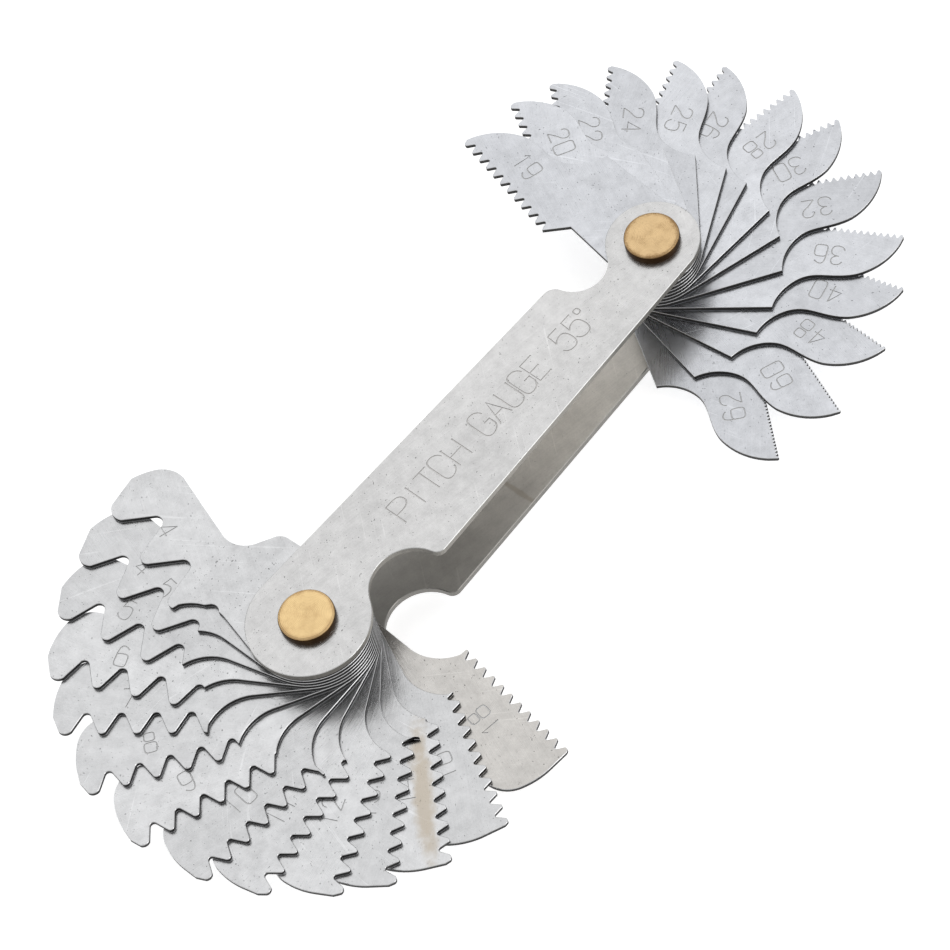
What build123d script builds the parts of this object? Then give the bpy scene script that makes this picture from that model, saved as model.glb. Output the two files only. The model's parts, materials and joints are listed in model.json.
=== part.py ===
"""Screw pitch gauge for 55 degree threads: two fans of toothed steel leaves on brass rivets in a flat case.

Frame: the origin is the middle of the coarse leaves' rivet head on the underside, which the gauge lies on.
+X points to the fine leaves' pivot, +Z up along the rivets. Millimetres.
"""

import os
from math import ceil, cos, radians, sin, tan

from build123d import *

# The case: two flat covers with round ends, wider at the coarse end.
PIVOT_SPACING = 55.0
COVER_THICKNESS = 0.8
COARSE_END_RADIUS = 6.5
FINE_END_RADIUS = 5.0

# The thumb notches, each touching its round end so that the edge runs from one arc into the other.
COARSE_NOTCH_RADIUS = 4.3
COARSE_NOTCH_BEARING = radians(-34.1)
COARSE_NOTCH_CORNER = 1.0
FINE_NOTCH_RADIUS = 3.4
FINE_NOTCH_BEARING = radians(144.7)
FINE_NOTCH_CORNER = 1.4

# The rivets, which hold the covers and are the leaves' hinge pins.
RIVET_HEAD_RADIUS = 2.95
RIVET_HEAD_HEIGHT = 1.0
RIVET_HEAD_CHAMFER = 0.12
RIVET_SHANK_RADIUS = 2.0

# The leaves lie one on another, the first of each list at the top.
LEAF_THICKNESS = 0.5
LEAF_GAP = 0.03
LEAF_HOLE_CLEARANCE = 0.07
COARSE_TPI = [4, 4.5, 5, 6, 7, 8, 9, 10, 11, 12, 13, 14, 16, 18]
FINE_TPI = [19, 20, 22, 24, 25, 26, 28, 30, 32, 36, 40, 48, 60, 62]
# How far each leaf is swung out: the direction of its toothed edge, in degrees from +X.
COARSE_FAN = [70, 83.5, 97.5, 112.5, 126, 142, 159, 175, 188, 203, 214, 226, 240, 260]
FINE_FAN = [74.5, 59, 48, 33, 17, 5, -13, -27, -45, -64, -78, -94, -113, -131]

# The thread form: a 55 degree vee with its crests and roots rounded to the standard depth.
INCH = 25.4
HALF_ANGLE = radians(27.5)
DEPTH_PER_PITCH = 0.640327
ROUND_PER_PITCH = 0.137329
# The outermost crest is this much wider than the others.
OUTER_CREST_PER_PITCH = 0.11

# A coarse leaf, in its own frame: pivot at the origin, toothed edge along +X on its +Y side.
COARSE_CREST_LINE = 11.0
COARSE_OUTER_ROOT = 26.2
COARSE_INNER_CREST = 9.8
COARSE_SHANK_RADIUS = 6.3

# A fine leaf, in the same kind of frame.
FINE_CREST_LINE = 7.85
FINE_OUTER_ROOT = 24.7
FINE_INNER_CREST = 9.2
FINE_SHANK_RADIUS = 4.75

BOTTOM_COVER_Z = RIVET_HEAD_HEIGHT
LEAF_STACK_Z = BOTTOM_COVER_Z + COVER_THICKNESS
LEAF_STEP = LEAF_THICKNESS + LEAF_GAP
TOP_COVER_Z = LEAF_STACK_Z + len(COARSE_TPI) * LEAF_STEP
RIVET_HEIGHT = TOP_COVER_Z + COVER_THICKNESS + RIVET_HEAD_HEIGHT
COARSE_PIVOT = (0, 0)
FINE_PIVOT = (PIVOT_SPACING, 0)
# How far tooth spaces are cut past the crest line, and a blank stands above it.
CUT_MARGIN = 1.0
BLANK_MARGIN = 0.4


def notch_centre(end_centre, end_radius, radius, bearing):
    """The middle of the notch that touches a round end in the given direction."""
    reach = end_radius + radius
    return (end_centre[0] + reach * cos(bearing), end_centre[1] + reach * sin(bearing))


def thumb_notch(centre, radius, end_centre, end_radius):
    """Cut a round notch into one long edge of the open sketch, up to the round end beside it."""
    beyond = 2 * centre[1]
    with Locations(centre):
        Circle(radius, mode=Mode.SUBTRACT)
    Polygon(end_centre, centre, (centre[0], beyond), (end_centre[0], beyond), align=None, mode=Mode.SUBTRACT)
    with Locations(end_centre):
        Circle(end_radius)


def cover(label, z):
    """Make one cover: two round ends, straight tapering edges and a thumb notch on each side."""
    coarse_notch = notch_centre(COARSE_PIVOT, COARSE_END_RADIUS, COARSE_NOTCH_RADIUS, COARSE_NOTCH_BEARING)
    fine_notch = notch_centre(FINE_PIVOT, FINE_END_RADIUS, FINE_NOTCH_RADIUS, FINE_NOTCH_BEARING)
    coarse_corner = (coarse_notch[0] + COARSE_NOTCH_RADIUS, coarse_notch[1], z)
    fine_corner = (fine_notch[0] - FINE_NOTCH_RADIUS, fine_notch[1], z)
    with BuildPart() as plate:
        with BuildSketch(Plane.XY.offset(z)) as face:
            with Locations(COARSE_PIVOT):
                Circle(COARSE_END_RADIUS)
            with Locations(FINE_PIVOT):
                Circle(FINE_END_RADIUS)
            make_hull()
            thumb_notch(coarse_notch, COARSE_NOTCH_RADIUS, COARSE_PIVOT, COARSE_END_RADIUS)
            thumb_notch(fine_notch, FINE_NOTCH_RADIUS, FINE_PIVOT, FINE_END_RADIUS)
            fillet(face.vertices().sort_by_distance(coarse_corner)[0], radius=COARSE_NOTCH_CORNER)
            fillet(face.vertices().sort_by_distance(fine_corner)[0], radius=FINE_NOTCH_CORNER)
            with Locations(COARSE_PIVOT, FINE_PIVOT):
                Circle(RIVET_SHANK_RADIUS, mode=Mode.SUBTRACT)
        extrude(amount=COVER_THICKNESS)
    plate.part.label = label
    return plate.part


def rivet(label, pivot):
    """Turn one rivet: a shank with a flat round head at each end."""
    with BuildPart() as pin:
        with BuildSketch(Plane(origin=(*pivot, 0), x_dir=(1, 0, 0), z_dir=(0, -1, 0))):
            with BuildLine():
                Polyline(
                    (0, 0),
                    (RIVET_HEAD_RADIUS - RIVET_HEAD_CHAMFER, 0),
                    (RIVET_HEAD_RADIUS, RIVET_HEAD_CHAMFER),
                    (RIVET_HEAD_RADIUS, RIVET_HEAD_HEIGHT),
                    (RIVET_SHANK_RADIUS, RIVET_HEAD_HEIGHT),
                    (RIVET_SHANK_RADIUS, RIVET_HEIGHT - RIVET_HEAD_HEIGHT),
                    (RIVET_HEAD_RADIUS, RIVET_HEIGHT - RIVET_HEAD_HEIGHT),
                    (RIVET_HEAD_RADIUS, RIVET_HEIGHT - RIVET_HEAD_CHAMFER),
                    (RIVET_HEAD_RADIUS - RIVET_HEAD_CHAMFER, RIVET_HEIGHT),
                    (0, RIVET_HEIGHT),
                    close=True,
                )
            make_face()
        revolve(axis=Axis((*pivot, 0), (0, 0, 1)))
    pin.part.label = label
    return pin.part


def tooth_spaces(pitch, crest_line, outer_root, inner_crest):
    """Draw the spaces between the teeth as one face, from the outermost tooth's long outer flank inwards."""
    rounding = ROUND_PER_PITCH * pitch
    reach = rounding * cos(HALF_ANGLE)
    drop = rounding * (1 - sin(HALF_ANGLE))
    root_line = crest_line - DEPTH_PER_PITCH * pitch
    low, high = root_line + drop, crest_line - drop
    crests = ceil((outer_root - pitch / 2 - inner_crest) / pitch) + 1
    above = crest_line + CUT_MARGIN
    beyond = outer_root + CUT_MARGIN
    shoulder = outer_root - pitch / 2 + reach + OUTER_CREST_PER_PITCH * pitch
    foot = high - (beyond - shoulder) / tan(HALF_ANGLE)
    with BuildSketch() as spaces:
        with BuildLine():
            Line((beyond, foot), (shoulder, high))
            for tooth in range(crests - 1):
                root = outer_root - (tooth + 1) * pitch
                crest = root + pitch / 2
                far_side = crest + reach if tooth else shoulder
                near_side = crest - reach
                ThreePointArc((far_side, high), ((far_side + near_side) / 2, crest_line), (near_side, high))
                Line((near_side, high), (root + reach, low))
                ThreePointArc((root + reach, low), (root, root_line), (root - reach, low))
                Line((root - reach, low), (root - pitch / 2 + reach, high))
            Polyline(
                (root - pitch / 2 + reach, high),
                (root - pitch / 2 + reach, above),
                (beyond, above),
                (beyond, foot),
            )
        make_face()
    return spaces.sketch


def tangent_point(radius, point, side):
    """Where a line from the point touches the circle round the pivot, on its +1 or -1 side in Y."""
    reach = Vector(*point)
    along = radius**2 / reach.length**2
    across = side * radius * (reach.length**2 - radius**2) ** 0.5 / reach.length**2
    return (reach.X * along - reach.Y * across, reach.Y * along + reach.X * across)


def coarse_blank():
    """Draw a coarse leaf without its teeth: hook-shaped back, hollow front, blade for the toothed edge."""
    top = COARSE_CREST_LINE + BLANK_MARGIN
    front = (5.3, 6.85)
    heel = (9.9, -2.94)
    front_touch = tangent_point(COARSE_SHANK_RADIUS, front, 1)
    heel_touch = tangent_point(COARSE_SHANK_RADIUS, heel, -1)
    with BuildSketch() as blank:
        with BuildLine():
            Line(front_touch, front)
            ThreePointArc(front, (8.4, 8.1), (COARSE_INNER_CREST, 10.1))
            Polyline((COARSE_INNER_CREST, 10.1), (COARSE_INNER_CREST, top), (25.9, top), (26.1, 8.6))
            ThreePointArc((26.1, 8.6), (26.1, 6.9), (25.7, 5.1))
            ThreePointArc((25.7, 5.1), (24.7, 3.55), (23.0, 2.75))
            Line((23.0, 2.75), (14.3, 2.55))
            ThreePointArc((14.3, 2.55), (12.3, 1.65), (11.4, -0.2))
            Line((11.4, -0.2), (11.1, -1.5))
            ThreePointArc((11.1, -1.5), (10.74, -2.4), heel)
            Line(heel, heel_touch)
            ThreePointArc(heel_touch, (-COARSE_SHANK_RADIUS, 0), front_touch)
        make_face()
    return blank.sketch


def fine_blank():
    """Draw a fine leaf without its teeth: straight shank, sharp heel, belly running up to a pointed end."""
    top = FINE_CREST_LINE + BLANK_MARGIN
    front = (7.7, 5.3)
    heel = (12.75, -2.9)
    front_touch = tangent_point(FINE_SHANK_RADIUS, front, 1)
    heel_touch = tangent_point(FINE_SHANK_RADIUS, heel, -1)
    with BuildSketch() as blank:
        with BuildLine():
            Polyline(front_touch, front, (9.6, top), (24.8, top), (24.45, 6.75))
            ThreePointArc((24.45, 6.75), (23.1, 4.25), (20.8, 2.4))
            Spline(
                (20.8, 2.4),
                (18.5, 1.85),
                (15.6, 1.4),
                (13.7, -0.2),
                heel,
                tangents=[(-1, -0.45), (-0.05, -1)],
            )
            Line(heel, heel_touch)
            ThreePointArc(heel_touch, (-FINE_SHANK_RADIUS, 0), front_touch)
        make_face()
    return blank.sketch


def leaf(label, pivot, swing, level, blank, spaces):
    """Make one leaf at its level of the stack, swung about its pivot."""
    floor = LEAF_STACK_Z + LEAF_GAP / 2 + level * LEAF_STEP
    facing = Vector(1, 0, 0).rotate(Axis.Z, swing)
    with BuildPart() as plate:
        with BuildSketch(Plane(origin=(*pivot, floor), x_dir=facing, z_dir=(0, 0, 1))):
            add(blank)
            add(spaces, mode=Mode.SUBTRACT)
            Circle(RIVET_SHANK_RADIUS + LEAF_HOLE_CLEARANCE, mode=Mode.SUBTRACT)
        extrude(amount=LEAF_THICKNESS)
    plate.part.label = label
    return plate.part


def leaf_name(tpi):
    """The leaf's name, from its threads per inch."""
    return f"leaf_{tpi:g}_tpi".replace(".", "_")


def write(part):
    """Write one finished piece under its own name."""
    export_step(part, f"parts/{part.label}.step")


os.makedirs("parts", exist_ok=True)
write(cover("bottom_cover", BOTTOM_COVER_Z))
write(cover("top_cover", TOP_COVER_Z))
write(rivet("coarse_rivet", COARSE_PIVOT))
write(rivet("fine_rivet", FINE_PIVOT))

for place, (tpi, swing) in enumerate(zip(COARSE_TPI, COARSE_FAN)):
    spaces = tooth_spaces(INCH / tpi, COARSE_CREST_LINE, COARSE_OUTER_ROOT, COARSE_INNER_CREST)
    write(leaf(leaf_name(tpi), COARSE_PIVOT, swing, len(COARSE_TPI) - 1 - place, coarse_blank(), spaces))

for place, (tpi, swing) in enumerate(zip(FINE_TPI, FINE_FAN)):
    spaces = tooth_spaces(INCH / tpi, FINE_CREST_LINE, FINE_OUTER_ROOT, FINE_INNER_CREST)
    write(leaf(leaf_name(tpi), FINE_PIVOT, swing, len(FINE_TPI) - 1 - place, fine_blank(), spaces))
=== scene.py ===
"""Looks for a screw pitch gauge: satin steel covers and leaves with stamped marks, on turned brass rivets."""

import json
import logging
import math
from dataclasses import dataclass, field
from enum import Enum, IntEnum

import bmesh
import bpy
from mathutils import Matrix, Vector

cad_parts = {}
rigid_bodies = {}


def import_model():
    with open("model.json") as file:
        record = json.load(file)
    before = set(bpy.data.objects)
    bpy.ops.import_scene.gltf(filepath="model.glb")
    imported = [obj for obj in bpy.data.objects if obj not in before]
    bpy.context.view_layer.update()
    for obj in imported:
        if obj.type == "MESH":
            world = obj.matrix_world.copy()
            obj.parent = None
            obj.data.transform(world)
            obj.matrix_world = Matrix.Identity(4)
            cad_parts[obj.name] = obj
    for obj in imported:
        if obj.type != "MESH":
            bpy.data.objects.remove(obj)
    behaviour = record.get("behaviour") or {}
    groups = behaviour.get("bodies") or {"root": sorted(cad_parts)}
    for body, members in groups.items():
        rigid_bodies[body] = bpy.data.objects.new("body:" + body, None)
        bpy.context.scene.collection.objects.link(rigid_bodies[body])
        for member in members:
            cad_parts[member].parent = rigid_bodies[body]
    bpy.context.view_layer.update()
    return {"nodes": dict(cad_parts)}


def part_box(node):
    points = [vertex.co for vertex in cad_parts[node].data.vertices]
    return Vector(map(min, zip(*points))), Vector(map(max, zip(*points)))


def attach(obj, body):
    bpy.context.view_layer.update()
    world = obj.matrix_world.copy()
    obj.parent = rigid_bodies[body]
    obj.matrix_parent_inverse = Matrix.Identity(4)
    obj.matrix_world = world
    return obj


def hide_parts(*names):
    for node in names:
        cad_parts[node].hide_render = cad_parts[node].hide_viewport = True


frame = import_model()
MM = 0.001
MERGE = 1e-4
FLAT = 0.9
Triple = tuple[float, float, float]
Colour = Triple
Point = tuple[float, float]
log = logging.getLogger("pitch_gauge")


class Surface(IntEnum):
    """The material slots of a sheet steel piece, in their order."""

    OUTER = 0
    RIM = 1
    WALL = 2
    MARK = 3
    INNER = 4


class Stroke(Enum):
    """How a stroke of a stamped character runs through its points."""

    STRAIGHT = "straight"
    CURVED = "curved"
    LOOP = "loop"


class Field:
    """A socket of a material's node tree, so that shader maths reads as ordinary expressions."""

    def __init__(self, graph: "Graph", socket: bpy.types.NodeSocket) -> None:
        """Wrap a socket of the graph."""
        self.graph = graph
        self.socket = socket

    def maths(self, operation: str, *values: "Field | float") -> "Field":
        """Add one Math node.

        Args:
            operation: The node's operation.
            values: Its inputs in order.

        Returns:
            The node's result.
        """
        return self.graph.node("ShaderNodeMath", {"operation": operation}, dict(enumerate(values)))

    def __add__(self, other: "Field | float") -> "Field":
        """self + other."""
        return self.maths("ADD", self, other)

    def __radd__(self, other: float) -> "Field":
        """other + self."""
        return self.maths("ADD", other, self)

    def __sub__(self, other: "Field | float") -> "Field":
        """self - other."""
        return self.maths("SUBTRACT", self, other)

    def __rsub__(self, other: float) -> "Field":
        """other - self."""
        return self.maths("SUBTRACT", other, self)

    def __mul__(self, other: "Field | float") -> "Field":
        """self * other."""
        return self.maths("MULTIPLY", self, other)

    def __rmul__(self, other: float) -> "Field":
        """other * self."""
        return self.maths("MULTIPLY", other, self)

    def between(self, low: float, high: float) -> "Field":
        """Fade from 0 at the low value to 1 at the high one.

        Args:
            low: The value that gives 0.
            high: The value that gives 1, which may be the smaller of the two.

        Returns:
            The clamped fade.
        """
        bounds = {1: low, 2: high} if low < high else {1: high, 2: low}
        settings = {"interpolation_type": "SMOOTHSTEP"}
        fade = self.graph.node("ShaderNodeMapRange", settings, {0: self, **bounds})
        return fade if low < high else 1 - fade


class Graph:
    """The node tree of one material."""

    def __init__(self, name: str) -> None:
        """Make an empty material of that name."""
        self.material = bpy.data.materials.new(name)
        self.material.use_nodes = True
        self.tree = self.material.node_tree
        self.tree.nodes.clear()

    def node(
        self,
        kind: str,
        settings: dict[str, object] | None = None,
        inputs: dict[str | int, "Field | float | Colour"] | None = None,
        output: str | int | None = 0,
    ) -> Field | None:
        """Add any node.

        Args:
            kind: The node's type.
            settings: Its properties, set before its sockets.
            inputs: Values or links by socket name or number.
            output: Which of its outputs is wanted, or None for a node without any.

        Returns:
            That output.
        """
        made = self.tree.nodes.new(kind)
        for name, value in (settings or {}).items():
            setattr(made, name, value)
        for key, value in (inputs or {}).items():
            if isinstance(value, Field):
                self.tree.links.new(value.socket, made.inputs[key])
            else:
                made.inputs[key].default_value = value
        return None if output is None else Field(self, made.outputs[output])

    def coordinates(self, centre: Point, turn: float) -> Field:
        """Object coordinates in millimetres, centred and turned on a piece.

        Args:
            centre: The pattern's origin in millimetres.
            turn: The pattern's turn about Z in radians.

        Returns:
            The turned coordinates.
        """
        place = self.node("ShaderNodeTexCoord", output="Object")
        inputs = {
            "Vector": place,
            "Location": (centre[0] * MM, centre[1] * MM, 0.0),
            "Rotation": (0.0, 0.0, turn),
            "Scale": (MM, MM, MM),
        }
        return self.node("ShaderNodeMapping", {"vector_type": "TEXTURE"}, inputs)

    def stretched(self, place: Field, scale: Triple, turn: float = 0.0) -> Field:
        """Coordinates with each axis scaled, after a turn about Z."""
        turned = self.node("ShaderNodeMapping", None, {"Vector": place, "Rotation": (0.0, 0.0, turn)})
        return self.node("ShaderNodeMapping", None, {"Vector": turned, "Scale": scale})

    def noise(self, place: Field, scale: float, seed: float, detail: float = 3.0) -> Field:
        """Soft noise between 0 and 1.

        Args:
            place: The coordinates in millimetres.
            scale: Patches per millimetre.
            seed: A number that gives each piece its own pattern.
            detail: The octaves of finer noise in it.

        Returns:
            The noise value.
        """
        inputs = {"Vector": place, "W": seed, "Scale": scale, "Detail": detail, "Roughness": 0.55}
        return self.node("ShaderNodeTexNoise", {"noise_dimensions": "4D"}, inputs)

    def scaled(self, colour: "Field | Colour", amount: "Field | float") -> Field:
        """A colour made lighter or darker."""
        return self.node("ShaderNodeVectorMath", {"operation": "SCALE"}, {0: colour, "Scale": amount})

    def blend(self, amount: Field, first: "Field | Colour", second: "Field | Colour") -> Field:
        """The first colour where the amount is 0, and the second where it is 1."""
        colours = [c if isinstance(c, Field) else (*c, 1.0) for c in (first, second)]
        settings = {"data_type": "RGBA", "clamp_factor": True}
        return self.node("ShaderNodeMix", settings, {0: amount, 6: colours[0], 7: colours[1]}, 2)

    def surface(self, colour: Field, roughness: Field, height: Field, depth: float, metallic: float) -> None:
        """Finish the material with one metal shader.

        Args:
            colour: The base colour.
            roughness: How dull it is.
            height: The relief's height between 0 and 1.
            depth: The relief's depth in millimetres.
            metallic: How metallic it is.
        """
        bump = self.node(
            "ShaderNodeBump", None, {"Height": height, "Strength": 1.0, "Distance": depth * MM}
        )
        shader = self.node(
            "ShaderNodeBsdfPrincipled",
            None,
            {"Base Color": colour, "Roughness": roughness, "Normal": bump, "Metallic": metallic},
        )
        self.finish(shader)

    def finish(self, shader: Field) -> None:
        """Send a shader to the material's surface."""
        self.node("ShaderNodeOutputMaterial", None, {"Surface": shader}, output=None)


@dataclass(frozen=True)
class Stain:
    """A brown patch on a piece, in the piece's own turned frame, in millimetres."""

    centre: Point
    reach: Point
    colour: Colour = (0.33, 0.25, 0.17)
    strength: float = 0.6


@dataclass(frozen=True)
class GroundSteel:
    """Satin ground sheet steel with cloudy patches, fine grinding lines, pits and scratches."""

    name: str
    tone: Colour
    centre: Point = (0.0, 0.0)
    turn: float = 0.0
    seed: float = 0.0
    dullness: float = 0.27
    metallic: float = 1.0
    stains: tuple[Stain, ...] = ()
    painted_shade: Triple | None = None

    def material(self) -> bpy.types.Material:
        """Make the material.

        Returns:
            The finished material.
        """
        graph = Graph(self.name)
        place = graph.coordinates(self.centre, self.turn)
        cloud = graph.noise(place, 0.16, self.seed, 4.0)
        mottle = graph.noise(place, 0.8, self.seed + 3.1, 6.0)
        speckle = graph.noise(place, 4.5, self.seed + 5.7, 2.0)
        pits = speckle.between(0.66, 0.74)
        lines = graph.noise(graph.stretched(place, (0.12, 7.0, 1.0), 0.2), 1.0, self.seed + 7.3, 3.0)
        marks = graph.noise(graph.stretched(place, (0.1, 3.5, 1.0), -0.9), 1.0, self.seed + 9.9, 1.0)
        scratches = marks.between(0.66, 0.72)
        light = 1 + 0.4 * (cloud - 0.5) + 0.45 * (mottle - 0.5) + 0.22 * (lines - 0.5)
        light = light + 0.25 * (speckle - 0.5) - 0.4 * pits + 0.12 * scratches
        colour = graph.scaled(self.tone, light)
        # Painted shade, when set: the colour is scaled along X, from low at start up to full at end.
        if self.painted_shade:
            start, end, low = self.painted_shade
            along = graph.node("ShaderNodeSeparateXYZ", None, {0: place}, "X")
            fade = along.between(start, end) * (1 - low) + low
            colour = graph.scaled(colour, fade)
        for stain in self.stains:
            colour = self.stained(graph, place, colour, mottle, stain)
        roughness = self.dullness + 0.16 * (cloud - 0.5) + 0.12 * (lines - 0.5) + 0.2 * pits
        height = 0.3 * lines + 0.6 * mottle - 0.5 * pits - 0.15 * scratches
        graph.surface(colour, roughness, height, 0.03, self.metallic)
        return graph.material

    def stained(self, graph: Graph, place: Field, colour: Field, mottle: Field, stain: Stain) -> Field:
        """Lay one stain over the colour.

        Args:
            graph: The material's node tree.
            place: The piece's own coordinates.
            colour: The colour so far.
            mottle: Noise that breaks up the stain's edge.
            stain: The stain.

        Returns:
            The stained colour.
        """
        inputs = {
            "Vector": place,
            "Location": (*stain.centre, 0.0),
            "Scale": (*stain.reach, 1000.0),
        }
        local = graph.node("ShaderNodeMapping", {"vector_type": "TEXTURE"}, inputs)
        far = graph.node("ShaderNodeVectorMath", {"operation": "LENGTH"}, {0: local}, "Value")
        amount = (far + 1.2 * (mottle - 0.5)).between(1.1, 0.35) * stain.strength
        return graph.blend(amount, colour, stain.colour)


@dataclass(frozen=True)
class ShearedSteel:
    """The cut walls of sheet steel, streaked from face to face."""

    name: str
    tone: Colour
    metallic: float = 0.75
    dullness: float = 0.5

    def material(self) -> bpy.types.Material:
        """Make the material.

        Returns:
            The finished material.
        """
        graph = Graph(self.name)
        place = graph.coordinates((0.0, 0.0), 0.0)
        streaks = graph.noise(graph.stretched(place, (5.0, 5.0, 0.5)), 1.0, 2.0, 3.0)
        grime = graph.noise(place, 0.7, 4.0, 4.0)
        colour = graph.scaled(self.tone, 0.6 + 0.5 * streaks + 0.4 * (grime - 0.5))
        roughness = self.dullness + 0.25 * (streaks - 0.5)
        graph.surface(colour, roughness, streaks, 0.02, self.metallic)
        return graph.material


@dataclass(frozen=True)
class TurnedBrass:
    """Brass bar, faced off in a lathe and worn, darker in tarnished patches; a much darker copy serves as
    painted shade on the head sides.
    """

    name: str
    tone: Colour
    tarnish_and_shade: Colour
    centre: Point
    grain: float
    seed: float

    RINGS = 38.0

    def material(self) -> bpy.types.Material:
        """Make the material.

        Returns:
            The finished material.
        """
        graph = Graph(self.name)
        place = graph.coordinates(self.centre, 0.0)
        cloud = graph.noise(place, 0.55, self.seed, 4.0)
        speckle = graph.noise(place, 7.0, self.seed + 1.3, 3.0)
        flat = graph.node("ShaderNodeVectorMath", {"operation": "MULTIPLY"}, {0: place, 1: (1.0, 1.0, 0.0)})
        radius = graph.node("ShaderNodeVectorMath", {"operation": "LENGTH"}, {0: flat}, "Value")
        wave = radius * self.RINGS + 3.0 * cloud
        rings = wave.maths("SINE", wave)
        # Darker towards the rounded rim of each head, from 2.2 to 2.95 mm out.
        edge = radius.between(2.2, 2.95)
        dark = (cloud + self.grain * (speckle - 0.5) + 0.35 * edge).between(0.42, 0.95)
        colour = graph.blend(dark, self.tone, self.tarnish_and_shade)
        colour = graph.scaled(colour, 1 + 0.06 * rings + 0.5 * self.grain * (speckle - 0.5))
        roughness = 0.38 + 0.25 * (cloud - 0.5) + 0.05 * rings
        graph.surface(colour, roughness, 0.2 * rings + self.grain * speckle, 0.03, 1.0)
        return graph.material


@dataclass(frozen=True)
class PaleFloor:
    """The plain matt floor under the gauge, lit so evenly that it reads as white."""

    name: str = "pale_floor"
    tone: Colour = (0.9, 0.9, 0.9)
    glow: float = 0.6

    def material(self) -> bpy.types.Material:
        """Make the material.

        Returns:
            The finished material.
        """
        graph = Graph(self.name)
        inputs = {
            "Base Color": (*self.tone, 1.0),
            "Roughness": 0.9,
            "Emission Color": (1.0, 1.0, 1.0, 1.0),
            "Emission Strength": self.glow,
        }
        graph.finish(graph.node("ShaderNodeBsdfPrincipled", None, inputs))
        return graph.material


@dataclass(frozen=True)
class StampedText:
    """Characters of thin single strokes, stamped as round-bottomed grooves."""

    text: str
    height: float
    advance: float
    bar: float = 0.07

    BOX = 10.0
    GLYPHS = {
        "0": [(
            Stroke.LOOP,
            [(3, 10.6), (-0.3, 10.4), (-0.2, 5), (-0.3, -0.4), (3, -0.6), (6.3, -0.4), (6.2, 5), (6.3, 10.4)],
        )],
        "1": [(Stroke.STRAIGHT, [(1.4, 7.8), (3.4, 10), (3.4, 0)])],
        "2": [
            (Stroke.CURVED, [(0.2, 7.4), (0.2, 10.3), (5.9, 10.7), (6.3, 6.4), (2.4, 3.4), (0, 0)]),
            (Stroke.STRAIGHT, [(0, 0), (6.2, 0)]),
        ],
        "3": [
            (Stroke.CURVED, [(0.3, 8.4), (0.9, 10.5), (5.9, 10.6), (6, 5.6), (2.4, 5.4)]),
            (Stroke.CURVED, [(2.4, 5.4), (6.6, 5.4), (6.5, -0.7), (0.8, -0.6), (0, 1.8)]),
        ],
        "4": [(Stroke.STRAIGHT, [(6.3, 3), (0, 3), (4.5, 10)]), (Stroke.STRAIGHT, [(4.5, 10), (4.5, 0)])],
        "5": [
            (Stroke.STRAIGHT, [(5.5, 10), (1, 10), (0.5, 5.3)]),
            (Stroke.CURVED, [(0.5, 5.3), (2, 6.8), (6.4, 6.8), (6.5, -0.6), (1, -0.8), (0, 1.6)]),
        ],
        "6": [
            (Stroke.CURVED, [(5.4, 9), (3.4, 11.2), (-0.2, 9.8), (0, 3)]),
            (
                Stroke.LOOP,
                [(3, 6.5), (0, 6.2), (-0.2, 3), (0, -0.3), (3, -0.5), (6, -0.3), (6.2, 3), (6, 6.2)],
            ),
        ],
        "7": [(Stroke.STRAIGHT, [(0, 10), (6, 10), (2, 0)])],
        "8": [
            (
                Stroke.LOOP,
                [(3, 10.5), (0.5, 10.3), (0.4, 8), (0.5, 6), (3, 5.9), (5.5, 6), (5.6, 8), (5.5, 10.3)],
            ),
            (
                Stroke.LOOP,
                [(3, 5.1), (0, 4.9), (-0.2, 2.4), (0, -0.2), (3, -0.4), (6, -0.2), (6.2, 2.4), (6, 4.9)],
            ),
        ],
        "9": [
            (Stroke.CURVED, [(0.6, 1), (2.6, -1.2), (6.2, 0.2), (6, 7)]),
            (
                Stroke.LOOP,
                [(3, 10.5), (0, 10.3), (-0.2, 7), (0, 3.8), (3, 3.5), (6, 3.8), (6.2, 7), (6, 10.3)],
            ),
        ],
        ".": [(Stroke.STRAIGHT, [(3, 0), (3, 0.5)])],
        " ": [],
        "P": [
            (Stroke.STRAIGHT, [(0, 0), (0, 10), (3, 10)]),
            (Stroke.CURVED, [(3, 10), (6.8, 10), (6.8, 4.6), (3, 4.6)]),
            (Stroke.STRAIGHT, [(3, 4.6), (0, 4.6)]),
        ],
        "I": [(Stroke.STRAIGHT, [(3, 0), (3, 10)])],
        "T": [(Stroke.STRAIGHT, [(0, 10), (6.4, 10)]), (Stroke.STRAIGHT, [(3.2, 10), (3.2, 0)])],
        "C": [
            (Stroke.CURVED, [(6, 8), (5.4, 10.6), (0, 11), (-0.1, 5), (0, -1), (5.4, -0.6), (6, 2)]),
        ],
        "H": [
            (Stroke.STRAIGHT, [(0, 0), (0, 10)]),
            (Stroke.STRAIGHT, [(6.2, 0), (6.2, 10)]),
            (Stroke.STRAIGHT, [(0, 5), (6.2, 5)]),
        ],
        "G": [
            (Stroke.CURVED, [(6, 8), (5.4, 10.6), (0, 11), (-0.1, 5), (0, -1), (5.2, -0.8), (6.2, 1.6)]),
            (Stroke.STRAIGHT, [(6.2, 1.6), (6.2, 4.6), (3.6, 4.6)]),
        ],
        "A": [
            (Stroke.STRAIGHT, [(0, 0), (3.1, 10), (6.2, 0)]),
            (Stroke.STRAIGHT, [(1.2, 3.6), (5, 3.6)]),
        ],
        "U": [(Stroke.CURVED, [(0, 10), (0, 5), (0, -0.8), (6.2, -0.8), (6.2, 5), (6.2, 10)])],
        "E": [
            (Stroke.STRAIGHT, [(6, 10), (0, 10), (0, 0), (6, 0)]),
            (Stroke.STRAIGHT, [(0, 5.2), (4.8, 5.2)]),
        ],
        "°": [(
            Stroke.LOOP,
            [(1, 9.9), (0, 9.6), (-0.2, 8.6), (0, 7.6), (1, 7.3), (2, 7.6), (2.2, 8.6), (2, 9.6)],
        )],
    }

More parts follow.
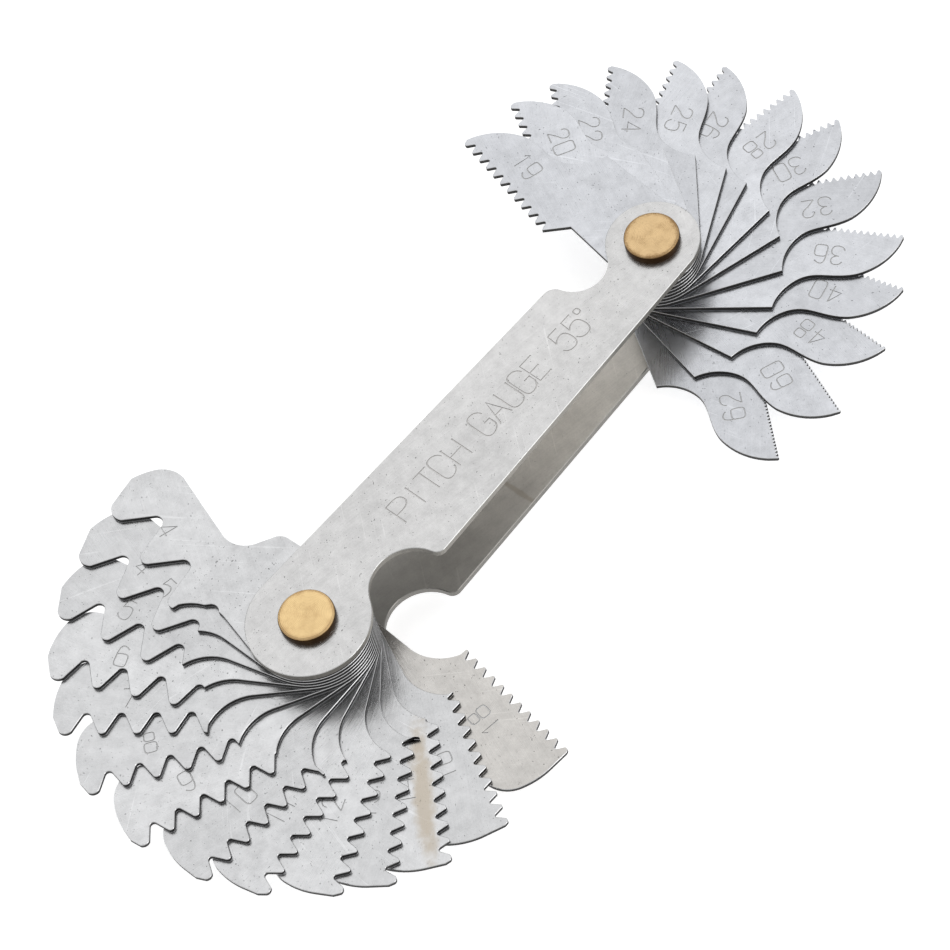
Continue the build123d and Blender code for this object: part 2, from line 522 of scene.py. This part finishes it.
    def bars(self, place: Matrix) -> list[bpy.types.Mesh]:
        """Make the bars that cut the characters, one for each stroke.

        Args:
            place: Where the first character's lower left corner lies, in millimetres.

        Returns:
            Closed round bars.
        """
        return [
            self.stroke(kind, points, index * self.advance, place)
            for index, character in enumerate(self.text)
            for kind, points in self.GLYPHS[character]
        ]

    def stroke(self, kind: Stroke, points: list[Point], start: float, place: Matrix) -> bpy.types.Mesh:
        """Make the bar for one stroke.

        Args:
            kind: How the stroke runs.
            points: Its points in the character's box.
            start: Where the character begins along the text.
            place: Where the text lies.

        Returns:
            The closed bar.
        """
        size = self.height / self.BOX
        curve = bpy.data.curves.new("stroke", "CURVE")
        curve.dimensions = "3D"
        curve.bevel_depth = self.bar
        curve.bevel_resolution = 1
        curve.resolution_u = 5
        curve.use_fill_caps = True
        spline = curve.splines.new("POLY" if kind is Stroke.STRAIGHT else "NURBS")
        spline.points.add(len(points) - 1)
        for spot, (x, y) in zip(spline.points, points):
            spot.co = (start + x * size, y * size, 0.0, 1.0)
        if kind is not Stroke.STRAIGHT:
            spline.order_u = 3
            spline.use_endpoint_u = kind is Stroke.CURVED
            spline.use_cyclic_u = kind is Stroke.LOOP
        holder = bpy.data.objects.new("stroke", curve)
        mesh = bpy.data.meshes.new_from_object(holder)
        bpy.data.objects.remove(holder)
        bpy.data.curves.remove(curve)
        mesh.transform(place)
        bm = bmesh.new()
        bm.from_mesh(mesh)
        bmesh.ops.remove_doubles(bm, verts=bm.verts, dist=MERGE)
        bmesh.ops.recalc_face_normals(bm, faces=bm.faces)
        for face in bm.faces:
            face.material_index = Surface.MARK
        bm.to_mesh(mesh)
        bm.free()
        return mesh


@dataclass
class SheetPiece:
    """A flat steel piece reworked from its CAD node: softened rims, own finishes and stamped marks."""

    name: str
    node: str
    body: str
    slot: str
    rim: float
    finishes: dict[Surface, bpy.types.Material]
    inner: float = 0.0
    coarse_merge: float = 4e-3
    stamps: list[tuple[StampedText, Matrix]] = field(default_factory=list)

    def build(self) -> bpy.types.Object:
        """Make the piece in the node's place.

        Returns:
            The finished object.
        """
        mesh = frame["nodes"][self.node].data.copy()
        mesh.name = self.name
        if "custom_normal" in mesh.attributes:
            mesh.attributes.remove(mesh.attributes["custom_normal"])
        mesh.transform(Matrix.Scale(1 / MM, 4))
        mesh.materials.clear()
        for surface in Surface:
            mesh.materials.append(self.finishes[surface])
        self.sort_faces(mesh)
        piece = bpy.data.objects.new(self.name, mesh)
        bpy.context.scene.collection.objects.link(piece)
        for stamp, place in self.stamps:
            self.cut(piece, stamp.bars(place))
        self.soften(piece.data)
        piece.data.transform(Matrix.Scale(MM, 4))
        piece.data.set_sharp_from_angle(angle=math.radians(30))
        curved = [polygon.material_index in (Surface.WALL, Surface.RIM) for polygon in piece.data.polygons]
        piece.data.polygons.foreach_set("use_smooth", curved)
        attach(piece, self.body)
        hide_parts(self.node)
        log.info("%s: %d faces", self.name, len(piece.data.polygons))
        return piece

    def sort_faces(self, mesh: bpy.types.Mesh) -> None:
        """Merge the flat faces and sort the faces into surfaces.

        Args:
            mesh: The piece's mesh, in millimetres.
        """
        bm = bmesh.new()
        bm.from_mesh(mesh)
        bmesh.ops.remove_doubles(bm, verts=bm.verts, dist=self.coarse_merge)
        bmesh.ops.dissolve_limit(
            bm, angle_limit=math.radians(0.4), verts=bm.verts, edges=bm.edges, delimit=set()
        )
        for face in bm.faces:
            if face.normal.z * self.inner > FLAT:
                face.material_index = Surface.INNER
            else:
                face.material_index = Surface.OUTER if abs(face.normal.z) > FLAT else Surface.WALL
        bm.to_mesh(mesh)
        bm.free()

    def soften(self, mesh: bpy.types.Mesh) -> None:
        """Bevel the rims.

        Args:
            mesh: The piece's mesh, in millimetres.
        """
        bm = bmesh.new()
        bm.from_mesh(mesh)
        bevelled = bmesh.ops.bevel(
            bm,
            geom=[edge for edge in bm.edges if self.is_rim(edge)],
            offset=self.rim,
            offset_type="OFFSET",
            affect="EDGES",
            segments=1,
            profile=0.5,
            material=-1,
            clamp_overlap=False,
        )
        for face in bevelled["faces"]:
            face.material_index = Surface.RIM
        bm.to_mesh(mesh)
        bm.free()

    @staticmethod
    def is_rim(edge: bmesh.types.BMEdge) -> bool:
        """Whether an edge joins a flat face to a wall."""
        kinds = {face.material_index for face in edge.link_faces}
        return len(kinds) == 2 and Surface.WALL in kinds and Surface.MARK not in kinds

    @staticmethod
    def cut(piece: bpy.types.Object, bars: list[bpy.types.Mesh]) -> None:
        """Cut stamped marks out of the piece and keep the result as its mesh.

        Args:
            piece: The piece, in millimetres.
            bars: The bars that are cut away.
        """
        tray = bpy.data.collections.new("stamps")
        bpy.context.scene.collection.children.link(tray)
        for bar in bars:
            for material in piece.data.materials:
                bar.materials.append(material)
            tray.objects.link(bpy.data.objects.new("stamp", bar))
        boolean = piece.modifiers.new("stamp", "BOOLEAN")
        boolean.operation = "DIFFERENCE"
        boolean.solver = "EXACT"
        boolean.operand_type = "COLLECTION"
        boolean.collection = tray
        depsgraph = bpy.context.evaluated_depsgraph_get()
        done = bpy.data.meshes.new_from_object(piece.evaluated_get(depsgraph))
        piece.modifiers.clear()
        piece.data = done
        for stamp in list(tray.objects):
            bpy.data.objects.remove(stamp)
        bpy.data.collections.remove(tray)


@dataclass
class Case:
    """The two covers, the top one stamped with what the gauge is."""

    rim: float = 0.06
    outer: Colour = (0.525, 0.522, 0.52)
    # Lighter than the outer tone as painted light, for the inner faces that lie in the top cover's shade.
    inner: Colour = (0.7, 0.675, 0.63)
    # The top cover's walls and rims are lighter than the bottom cover's: painted light and a painted highlight
    # on the top cover, painted shade on the bottom one, for the same steel.
    top_wall_lit: Colour = (0.36, 0.345, 0.315)
    top_rim_highlight: Colour = (0.7, 0.7, 0.69)
    bottom_wall_shaded: Colour = (0.3, 0.29, 0.27)
    bottom_rim_shaded: Colour = (0.3, 0.29, 0.27)
    words: StampedText = StampedText("PITCH GAUGE 55°", 2.9, 2.08, 0.075)
    words_start: Triple = (14.2, -0.9, -1.2)

    def finishes(self, wall: Colour, rim: Colour, seed: float) -> dict[Surface, bpy.types.Material]:
        """Make one cover's finishes.

        Args:
            wall: The colour of its cut walls, lighter on the top cover as painted light and darker on the
                bottom cover as painted shade.
            rim: The colour of its rims, lighter on the top cover as a painted highlight and darker on the
                bottom cover as painted shade.
            seed: The cover's own number.

        Returns:
            A material for each surface.
        """
        # A faint dark brown line across the inner face, at x = 26.5 mm.
        line = Stain((26.5, -4.0), (0.35, 9.0), (0.3, 0.25, 0.19), 0.45)
        return {
            Surface.OUTER: GroundSteel("cover_face", self.outer, seed=seed).material(),
            # Inner face: a lighter tone than the outer face as painted light, and painted shade darkening it
            # towards low X, for the top cover's shade on the plate below.
            Surface.INNER: GroundSteel(
                "cover_inside", self.inner, seed=seed + 20, dullness=0.45, metallic=0.25,
                stains=(line,), painted_shade=(6.0, 46.0, 0.42),
            ).material(),
            # Rims: a painted highlight on the top cover, painted shade on the bottom cover.
            Surface.RIM: GroundSteel("cover_rim", rim, seed=seed + 40, dullness=0.3).material(),
            Surface.WALL: ShearedSteel("cover_edge", wall).material(),
            Surface.MARK: ShearedSteel("cover_mark", (0.6, 0.59, 0.58), 1.0, 0.35).material(),
        }

    def build(self) -> list[bpy.types.Object]:
        """Make both covers.

        Returns:
            The two pieces.
        """
        x, y, lean = self.words_start
        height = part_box("top_cover")[1].z / MM
        place = Matrix.Translation((x, y, height)) @ Matrix.Rotation(math.radians(lean), 4, "Z")
        common = {"body": "case", "slot": "cover_steel", "rim": self.rim}
        bottom = SheetPiece(
            "bottom_plate",
            "bottom_cover",
            finishes=self.finishes(self.bottom_wall_shaded, self.bottom_rim_shaded, 31.0),
            inner=1.0,
            **common,
        )
        top = SheetPiece(
            "top_plate",
            "top_cover",
            finishes=self.finishes(self.top_wall_lit, self.top_rim_highlight, 12.0),
            inner=-1.0,
            stamps=[(self.words, place)],
            **common,
        )
        return [bottom.build(), top.build()]


@dataclass
class LeafFan:
    """One rivet's fan of leaves, each stamped with its threads per inch."""

    name: str
    pivot: Point
    swings: dict[float, float]
    rim: float
    tone: Colour
    number_at: Point
    tints: dict[float, Colour] = field(default_factory=dict)
    stains: dict[float, Stain] = field(default_factory=dict)
    number_height: float = 2.1
    number_advance: float = 1.85
    number_bar: float = 0.065
    highlight_rim_finish: bpy.types.Material = field(init=False)
    shaded_wall_finish: bpy.types.Material = field(init=False)
    mark_finish: bpy.types.Material = field(init=False)

    def finishes(self, tpi: float, swing: float) -> dict[Surface, bpy.types.Material]:
        """Make one leaf's finishes.

        Args:
            tpi: The leaf's threads per inch.
            swing: The direction of its toothed edge, in degrees.

        Returns:
            A material for each surface.
        """
        tone = self.tints.get(tpi, self.tone)
        stains = (self.stains[tpi],) if tpi in self.stains else ()
        lightness = 1 + 0.05 * math.sin(tpi * 2.3)
        face = GroundSteel(
            f"{self.name}_face_{tpi:g}",
            tuple(c * lightness for c in tone),
            self.pivot,
            math.radians(swing),
            tpi * 1.7,
            stains=stains,
        ).material()
        return {
            Surface.OUTER: face,
            Surface.INNER: face,
            Surface.RIM: self.highlight_rim_finish,
            Surface.WALL: self.shaded_wall_finish,
            Surface.MARK: self.mark_finish,
        }

    def build(self) -> list[bpy.types.Object]:
        """Make every leaf of the fan.

        Returns:
            The leaves, from the top of the stack down.
        """
        # Painted highlight: the bevelled leaf rims are much lighter than the faces, for the thin bright lines
        # along lit leaf edges.
        self.highlight_rim_finish = GroundSteel(f"{self.name}_rim", (0.8, 0.8, 0.81), dullness=0.3).material()
        # Painted shade: the leaf walls are near black, for the shadow in the narrow gaps between stacked
        # leaves.
        self.shaded_wall_finish = ShearedSteel(f"{self.name}_edge", (0.03, 0.029, 0.028), 0.3, 0.6).material()
        self.mark_finish = ShearedSteel(f"{self.name}_mark", (0.55, 0.55, 0.55), 1.0, 0.35).material()
        return [self.leaf(tpi, swing) for tpi, swing in self.swings.items()]

    def leaf(self, tpi: float, swing: float) -> bpy.types.Object:
        """Make one leaf.

        Args:
            tpi: Its threads per inch.
            swing: The direction of its toothed edge, in degrees.

        Returns:
            The finished leaf.
        """
        number = f"{tpi:g}"
        node = f"leaf_{number}_tpi".replace(".", "_")
        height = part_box(node)[1].z / MM
        place = (
            Matrix.Translation((*self.pivot, height))
            @ Matrix.Rotation(math.radians(swing), 4, "Z")
            @ Matrix.Translation((*self.number_at, 0.0))
            @ Matrix.Rotation(math.pi, 4, "Z")
        )
        stamp = StampedText(number, self.number_height, self.number_advance, self.number_bar)
        return SheetPiece(
            node.replace("leaf", "blade"), node, node, "leaf_steel", self.rim,
            self.finishes(tpi, swing), stamps=[(stamp, place)],
        ).build()


@dataclass
class Rivet:
    """A turned brass rivet with a softened flat head at each end."""

    name: str
    node: str
    centre: Point
    face: TurnedBrass
    head: float = 2.95
    shank: float = 2.0
    rise: float = 1.0
    dish: float = 0.05

    def profile(self, height: float) -> list[Point]:
        """The rivet's outline as radius and height, from the foot up."""
        lower = [
            (0.0, self.dish),
            (self.head - 0.75, self.dish * 0.7),
            (self.head - 0.32, 0.0),
            (self.head - 0.14, 0.03),
            (self.head - 0.04, 0.12),
            (self.head, 0.28),
            (self.head, self.rise),
            (self.shank, self.rise),
        ]
        return lower + [(radius, height - z) for radius, z in reversed(lower)]

    def build(self) -> bpy.types.Object:
        """Spin the rivet and dress it.

        Returns:
            The finished rivet.
        """
        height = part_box(self.node)[1].z / MM
        bm = bmesh.new()
        spots = [bm.verts.new((radius, 0.0, z)) for radius, z in self.profile(height)]
        edges = [bm.edges.new(pair) for pair in zip(spots, spots[1:])]
        bmesh.ops.spin(
            bm, geom=spots + edges, cent=(0, 0, 0), axis=(0, 0, 1), angle=math.tau, steps=96, use_merge=True
        )
        bmesh.ops.remove_doubles(bm, verts=bm.verts, dist=MERGE)
        bmesh.ops.recalc_face_normals(bm, faces=bm.faces)
        for spin_face in bm.faces:
            spin_face.smooth = True
            # Up- and down-facing faces take the brass face; the sides take a near-black brass as painted
            # shade.
            spin_face.material_index = 0 if abs(spin_face.normal.z) > 0.5 else 1
        bmesh.ops.translate(bm, verts=bm.verts, vec=(*self.centre, 0.0))
        bmesh.ops.scale(bm, verts=bm.verts, vec=(MM, MM, MM))
        mesh = bpy.data.meshes.new(self.name)
        bm.to_mesh(mesh)
        bm.free()
        mesh.materials.append(self.face.material())
        # Painted shade: the head sides get a much darker copy of the brass, for the shade on the sides of the
        # heads.
        mesh.materials.append(
            TurnedBrass(
                f"{self.name}_side", (0.14, 0.08, 0.035), (0.06, 0.03, 0.012), self.centre, 0.5, self.face.seed
            ).material()
        )
        mesh.set_sharp_from_angle(angle=math.radians(40))
        piece = bpy.data.objects.new(self.name, mesh)
        bpy.context.scene.collection.objects.link(piece)
        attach(piece, "case")
        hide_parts(self.node)
        log.info("%s: %d faces", self.name, len(mesh.polygons))
        return piece


@dataclass
class Studio:
    """The floor, the soft lights and the camera."""

    target: Triple = (22.469, -3.066, 10.02)
    azimuth: float = -33.934
    elevation: float = 56.776
    roll: float = -18.464
    distance: float = 385.0
    lens: float = 144.19
    sensor: float = 36.0
    floor_reach: float = 4.0
    sky: float = 0.55

    def build(self) -> None:
        """Make the whole studio."""
        self.floor()
        self.softbox("overhead_light", (0.306, 0.455, 0.837), 0.9, 0.9, 0.78)
        self.softbox("front_light", (0.3, -0.84, 0.45), 0.9, 0.5, 1.3)
        self.camera()
        world = bpy.data.worlds.new("studio")
        world.use_nodes = True
        backdrop = world.node_tree.nodes["Background"].inputs
        backdrop["Color"].default_value = (1.0, 1.0, 1.0, 1.0)
        backdrop["Strength"].default_value = self.sky
        bpy.context.scene.world = world
        bpy.context.scene.view_settings.view_transform = "Standard"

    def floor(self) -> None:
        """Lay the floor that the gauge lies on."""
        bm = bmesh.new()
        bmesh.ops.create_grid(bm, x_segments=8, y_segments=8, size=self.floor_reach)
        mesh = bpy.data.meshes.new("floor")
        bm.to_mesh(mesh)
        bm.free()
        mesh.materials.append(PaleFloor().material())
        floor = bpy.data.objects.new("floor", mesh)
        bpy.context.scene.collection.objects.link(floor)

    def softbox(self, name: str, toward: Triple, away: float, size: float, radiance: float) -> None:
        """Hang one square area light.

        Args:
            name: The light's name.
            toward: The direction from the gauge to the light.
            away: Its distance in metres.
            size: Its side in metres.
            radiance: How bright its surface is.
        """
        light = bpy.data.lights.new(name, "AREA")
        light.size = size
        light.energy = radiance * math.pi * size * size
        lamp = bpy.data.objects.new(name, light)
        direction = Vector(toward).normalized()
        lamp.location = Vector(self.target) * MM + direction * away
        lamp.rotation_euler = (-direction).to_track_quat("-Z", "Y").to_euler()
        bpy.context.scene.collection.objects.link(lamp)

    def camera(self) -> None:
        """Set up the camera at its viewing angle."""
        turn, rise, roll = (math.radians(a) for a in (self.azimuth, self.elevation, self.roll))
        back = Vector((math.sin(turn) * math.cos(rise), -math.cos(turn) * math.cos(rise), math.sin(rise)))
        right = Vector((math.cos(turn), math.sin(turn), 0.0))
        up = back.cross(right)
        across = math.cos(roll) * right + math.sin(roll) * up
        upward = math.cos(roll) * up - math.sin(roll) * right
        data = bpy.data.cameras.new("camera")
        data.lens = self.lens
        data.sensor_width = self.sensor
        data.clip_start, data.clip_end = 0.01, 20.0
        camera = bpy.data.objects.new("camera", data)
        place = Matrix((across, upward, back)).transposed().to_4x4()
        place.translation = (Vector(self.target) + back * self.distance) * MM
        camera.matrix_world = place
        bpy.context.scene.collection.objects.link(camera)
        bpy.context.scene.camera = camera


def main() -> None:
    """Build the gauge's looks, piece by piece, and report each."""
    logging.basicConfig(level=logging.INFO, format="%(name)s %(message)s")
    coarse = LeafFan(
        "coarse",
        (0.0, 0.0),
        dict(zip(
            (4, 4.5, 5, 6, 7, 8, 9, 10, 11, 12, 13, 14, 16, 18),
            (70, 83.5, 97.5, 112.5, 126, 142, 159, 175, 188, 203, 214, 226, 240, 260),
        )),
        0.05,
        (0.525, 0.528, 0.535),
        (19.0, 8.1),
        tints={18: (0.5, 0.485, 0.465)},
        stains={14: Stain((18.0, 8.9), (10.0, 1.3), (0.42, 0.36, 0.28), 0.75)},
    )
    fine = LeafFan(
        "fine",
        (55.0, 0.0),
        dict(zip(
            (19, 20, 22, 24, 25, 26, 28, 30, 32, 36, 40, 48, 60, 62),
            (74.5, 59, 48, 33, 17, 5, -13, -27, -45, -64, -78, -94, -113, -131),
        )),
        0.03,
        (0.515, 0.525, 0.55),
        (18.9, 5.4),
    )
    pieces = Case().build() + coarse.build() + fine.build()
    pieces.append(Rivet(
        "coarse_pin", "coarse_rivet", (0.0, 0.0),
        TurnedBrass("coarse_pin_face", (0.8, 0.585, 0.3), (0.56, 0.37, 0.18), (0.0, 0.0), 0.25, 3.0),
    ).build())
    pieces.append(Rivet(
        "fine_pin", "fine_rivet", (55.0, 0.0),
        TurnedBrass("fine_pin_face", (0.7, 0.5, 0.27), (0.36, 0.22, 0.1), (55.0, 0.0), 0.8, 8.0),
    ).build())
    log.info("%d pieces in all", len(pieces))
    Studio().build()


if __name__ == "__main__":
    main()
